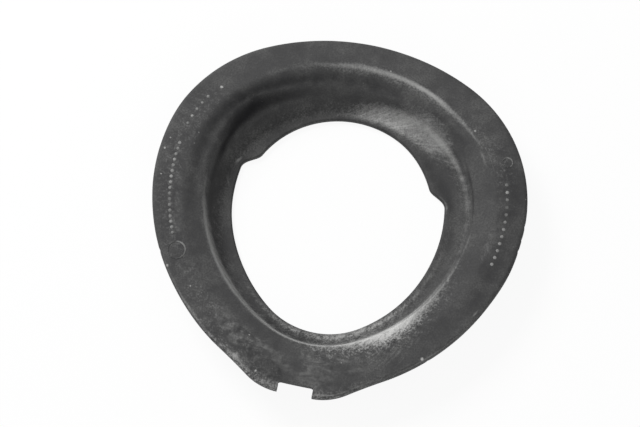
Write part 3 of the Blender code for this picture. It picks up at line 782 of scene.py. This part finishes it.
def makeRubber():
    look = rubberLook
    material = bpy.data.materials.new("agedRubber")
    material.use_nodes = True
    nodes, links = material.node_tree.nodes, material.node_tree.links
    shader = nodes["Principled BSDF"]
    shader.inputs["Metallic"].default_value = 0.0
    shader.inputs["IOR"].default_value = look["ior"]
    shader.inputs["Specular IOR Level"].default_value = look["specular"]
    onPad = nodes.new("ShaderNodeTexCoord").outputs["Object"]

    def mask(name):
        node = nodes.new("ShaderNodeAttribute")
        node.attribute_name = name
        return node.outputs["Fac"]

    def alongWay(name, scale):
        way = nodes.new("ShaderNodeAttribute")
        way.attribute_name = name
        stretch = nodes.new("ShaderNodeMapping")
        stretch.inputs["Scale"].default_value = scale
        links.new(way.outputs["Vector"], stretch.inputs["Vector"])
        return stretch.outputs[0]

    def cloud(name, output="Fac"):
        node = nodes.new("ShaderNodeTexNoise")
        settings, way = clouds[name][:4], clouds[name][4:]
        for socket, value in zip(("Scale", "Detail", "Roughness", "Distortion"), settings):
            node.inputs[socket].default_value = value
        links.new(alongWay(*way) if way else onPad, node.inputs["Vector"])
        return node.outputs[output]

    def spread(value, limits):
        node = nodes.new("ShaderNodeMapRange")
        node.interpolation_type = "SMOOTHSTEP"
        for socket, number in zip(("From Min", "From Max", "To Min", "To Max"), limits):
            node.inputs[socket].default_value = number
        links.new(value, node.inputs["Value"])
        return node.outputs["Result"]

    def combine(kind, first, second):
        node = nodes.new("ShaderNodeMath")
        node.operation = kind
        for socket, value in zip(node.inputs, (first, second)):
            if isinstance(value, (int, float)):
                socket.default_value = value
            else:
                links.new(value, socket)
        return node.outputs[0]

    def times(first, second):
        return combine("MULTIPLY", first, second)

    def plus(first, second):
        return combine("ADD", first, second)

    def blend(textures, weights):
        total = times(textures[0], weights[0])
        for texture, weight in zip(textures[1:], weights[1:]):
            total = plus(total, times(texture, weight))
        return total

    def tint(share, under, over):
        node = nodes.new("ShaderNodeMix")
        node.data_type = "RGBA"
        links.new(share, node.inputs["Factor"])
        for name, value in (("A", under), ("B", over)):
            socket = [s for s in node.inputs if s.name == name and s.type == "RGBA"][0]
            if isinstance(value, tuple):
                socket.default_value = (*value, 1.0)
            else:
                links.new(value, socket)
        return [s for s in node.outputs if s.type == "RGBA"][0]

    mottle, cells, clumps, grain = cloud("mottle"), cloud("cells"), cloud("clumps"), cloud("grain")
    gritty = mask("grain")

    # greyed rubber, in clouds, cells and a fine grain
    greyed = times(spread(mottle, ranges["mottled"]), spread(cells, ranges["celled"]))
    greyed = times(greyed, spread(grain, ranges["grained"]))
    colour = tint(greyed, look["clean"], look["aged"])

    # pale and dark patches on the flange
    patches = mask("patches")
    bloomed = times(patches, spread(cloud("smears"), ranges["smeared"]))
    bloomed = times(bloomed, spread(clumps, ranges["clumped"]))
    sunken = times(patches, spread(cells, ranges["sunken"]))
    colour = tint(bloomed, colour, look["bloom"])
    colour = tint(sunken, colour, look["blackAndPaintedShade"])

    # painted shade: black on the upper-left wall, fainter in the dish, on the flanges, along the foot of the
    # wall and as a fine line at the hole's edge
    paintedShadeShare = times(mask("paintedShade"), spread(cells, ranges["paintedShade"]))
    colour = tint(paintedShadeShare, colour, look["blackAndPaintedShade"])

    def breakUp(share, texture, settings):
        # solid where the mask is strong, only the texture's peaks where it is weak, and rougher in the grain
        smooth, rough, low, high = settings
        depth = plus(times(gritty, rough - smooth), smooth)
        shifted = times(combine("SUBTRACT", texture, 0.5), depth)
        broken = spread(plus(share, shifted), (low, high, 0.0, 1.0))
        return times(broken, spread(share, (0.0, look["maskEdge"], 0.0, 1.0)))

    # scuffs and painted highlights along the crest, the rim's edge and the shoulder, drawn out along the
    # ring
    drawn = blend((cloud("streaks"), grain), look["scuffMix"])
    paleScuffAndHighlight = breakUp(mask("scuffAndHighlight"), drawn, look["scuffBreak"])
    colour = tint(paleScuffAndHighlight, colour, look["paleScuffAndHighlight"])

    # dust, brushed across the ledge and broken up into clumps and grains, with painted light on the near
    # crest and wall and in the shade at the foot of the wall
    brushed = blend((cloud("brushing"), clumps, grain), look["dustMix"])
    finer = times(combine("SUBTRACT", grain, brushed), gritty)
    brushed = plus(brushed, times(finer, look["dustFiner"]))
    dustAndPaintedLightShare = breakUp(mask("dustAndPaintedLight"), brushed, look["dustBreak"])
    colour = tint(dustAndPaintedLightShare, colour, look["dustAndPaintedLight"])

    # black and pale grains, where the grain mask has them, and a few specks everywhere
    darkGrain = times(spread(clumps, ranges["darkGrain"]), gritty)
    paleGrain = times(spread(clumps, ranges["paleClumps"]), gritty)
    paleGrain = times(paleGrain, spread(grain, ranges["paleGrain"]))
    specks = times(spread(cloud("specks"), ranges["specks"]), spread(mottle, ranges["speckAreas"]))
    colour = tint(darkGrain, colour, look["blackAndPaintedShade"])
    colour = tint(paleGrain, colour, look["paleScuffAndHighlight"])
    colour = tint(specks, colour, look["speck"])

    # single bright flecks with frayed edges
    rag = flecks["rag"]
    frayed = nodes.new("ShaderNodeVectorMath")
    frayed.operation = "MULTIPLY_ADD"
    frayed.inputs[1].default_value = (rag, rag, 0.0)
    links.new(cloud("fray", "Color"), frayed.inputs[0])
    links.new(onPad, frayed.inputs[2])
    bright = 0.0
    for angle, share, size, strength in flecks["spots"]:
        spot = onTrack(angle, share)
        middle = Vector((spot.x, spot.y + padShape["middleShift"], padTop())) * mm
        solid, gone = [size * mm * edge for edge in flecks["edge"]]
        apart = nodes.new("ShaderNodeVectorMath")
        apart.operation = "DISTANCE"
        apart.inputs[1].default_value = middle + Vector((rag, rag, 0.0)) / 2.0
        links.new(frayed.outputs[0], apart.inputs[0])
        near = spread(apart.outputs["Value"], (gone, solid, 0.0, strength))
        bright = combine("MAXIMUM", bright, near)
    colour = tint(bright, colour, look["fleck"])
    links.new(colour, shader.inputs["Base Color"])

    rough = plus(spread(cells, ranges["roughness"]), times(dustAndPaintedLightShare, look["dustRough"]))
    links.new(rough, shader.inputs["Roughness"])

    # relief: a fine grain over soft unevenness
    normal = None
    for name, height in (("cellDepth", cells), ("grainDepth", grain)):
        bump = nodes.new("ShaderNodeBump")
        bump.inputs["Strength"].default_value = 1.0
        bump.inputs["Distance"].default_value = look[name]
        links.new(height, bump.inputs["Height"])
        if normal:
            links.new(normal, bump.inputs["Normal"])
        normal = bump.outputs[0]
    links.new(normal, shader.inputs["Normal"])
    layOut(material.node_tree)
    return material


pad = buildPad()
addMasks(pad)
pad.data.materials.append(makeRubber())
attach(pad, "root")
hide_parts("spring_pad")
print("pad dressed")


# the camera stands where the photograph was taken from
photoCamera = {
    "elevation": 71.23,          # degrees above the floor
    "turn": 10.62,               # degrees round the pad, from straight in front of the notch
    "roll": 1.49,
    "distance": 0.9,
    "sensor": 36.0,
    "focalPixels": 1998.0,
    "picture": (640.0, 427.0),
    "seenAt": (335.3, 222.3),    # where the lobes' middle shows in it
}


def placeCamera():
    settings = photoCamera
    elevation, turn, roll = [math.radians(settings[key]) for key in ("elevation", "turn", "roll")]
    width, height = settings["picture"]
    back = Vector((math.cos(elevation) * math.sin(turn), -math.cos(elevation) * math.cos(turn),
                   math.sin(elevation)))
    right = Vector((math.cos(turn), math.sin(turn), 0.0))
    up = back.cross(right)
    right, up = right * math.cos(roll) + up * math.sin(roll), up * math.cos(roll) - right * math.sin(roll)
    target = Vector((0.0, padShape["middleShift"] * mm, 0.0))
    scale = settings["distance"] / settings["focalPixels"]
    aim = (target - right * (settings["seenAt"][0] - width / 2.0) * scale
           + up * (settings["seenAt"][1] - height / 2.0) * scale)
    position = target + back * settings["distance"]
    backward = (position - aim).normalized()
    sideways = up.cross(backward).normalized()
    matrix = Matrix((sideways, backward.cross(sideways), backward)).transposed().to_4x4()
    matrix.translation = position
    data = bpy.data.cameras.new("photoCamera")
    data.sensor_width = settings["sensor"]
    data.lens = settings["sensor"] * settings["focalPixels"] / width
    camera = bpy.data.objects.new("photoCamera", data)
    bpy.context.collection.objects.link(camera)
    camera.matrix_world = matrix
    bpy.context.scene.camera = camera


placeCamera()


studio = {
    "floorSize": 3.0,
    "floorColour": (0.86, 0.86, 0.86, 1.0),
    "floorRoughness": 0.9,
    "floorGlow": 0.92,           # how much of the white is plain glow; the rest takes the shadow
    "worldStrength": 0.40,
    "lampDistance": 1.3,
    "lamps": {                   # watts, size in metres, degrees round the pad, degrees above the floor
        "keySoftbox": (15.0, 0.55, 142.0, 44.0),
        "fillSoftbox": (3.6, 0.8, 292.0, 26.0),
    },
}


def whiteRays(tree):
    # camera, glossy and transmission rays, which see plain white
    nodes, links = tree.nodes, tree.links
    path = nodes.new("ShaderNodeLightPath")
    seen = path.outputs["Is Camera Ray"]
    for name in ("Is Glossy Ray", "Is Transmission Ray"):
        either = nodes.new("ShaderNodeMath")
        either.operation = "MAXIMUM"
        links.new(seen, either.inputs[0])
        links.new(path.outputs[name], either.inputs[1])
        seen = either.outputs[0]
    return seen


def makeFloor():
    half = studio["floorSize"] / 2.0
    mesh = bpy.data.meshes.new("floor")
    mesh.from_pydata([(-half, -half, 0.0), (half, -half, 0.0), (half, half, 0.0), (-half, half, 0.0)], [],
                     [(0, 1, 2, 3)])
    floor = bpy.data.objects.new("floor", mesh)
    bpy.context.collection.objects.link(floor)
    material = bpy.data.materials.new("floorWhite")
    material.use_nodes = True
    tree = material.node_tree
    shader = tree.nodes["Principled BSDF"]
    shader.inputs["Base Color"].default_value = studio["floorColour"]
    shader.inputs["Roughness"].default_value = studio["floorRoughness"]
    glow = tree.nodes.new("ShaderNodeEmission")
    mix = tree.nodes.new("ShaderNodeMixShader")
    amount = tree.nodes.new("ShaderNodeMath")
    amount.operation = "MULTIPLY"
    amount.inputs[1].default_value = studio["floorGlow"]
    tree.links.new(whiteRays(tree), amount.inputs[0])
    tree.links.new(amount.outputs[0], mix.inputs["Fac"])
    tree.links.new(shader.outputs[0], mix.inputs[1])
    tree.links.new(glow.outputs[0], mix.inputs[2])
    tree.links.new(mix.outputs[0], tree.nodes["Material Output"].inputs["Surface"])
    layOut(tree)
    mesh.materials.append(material)


def makeWorld():
    world = bpy.data.worlds.new("studioWorld")
    world.use_nodes = True
    tree = world.node_tree
    soft, white = tree.nodes["Background"], tree.nodes.new("ShaderNodeBackground")
    for background, strength in ((soft, studio["worldStrength"]), (white, 1.0)):
        background.inputs["Color"].default_value = (1.0, 1.0, 1.0, 1.0)
        background.inputs["Strength"].default_value = strength
    mix = tree.nodes.new("ShaderNodeMixShader")
    path = tree.nodes.new("ShaderNodeLightPath")
    tree.links.new(path.outputs["Is Camera Ray"], mix.inputs["Fac"])
    tree.links.new(soft.outputs[0], mix.inputs[1])
    tree.links.new(white.outputs[0], mix.inputs[2])
    tree.links.new(mix.outputs[0], tree.nodes["World Output"].inputs["Surface"])
    layOut(tree)
    bpy.context.scene.world = world


def addLamps():
    for name, (power, size, turn, height) in studio["lamps"].items():
        side, elevation = heading(turn), math.radians(height)
        away = Vector((side.x * math.cos(elevation), side.y * math.cos(elevation), math.sin(elevation)))
        data = bpy.data.lights.new(name, "AREA")
        data.shape = "SQUARE"
        data.size = size
        data.energy = power
        lamp = bpy.data.objects.new(name, data)
        lamp.location = away * studio["lampDistance"]
        lamp.rotation_euler = away.to_track_quat("Z", "Y").to_euler()
        bpy.context.collection.objects.link(lamp)


makeFloor()
makeWorld()
addLamps()
bpy.context.scene.view_settings.view_transform = "Standard"
print("studio ready")
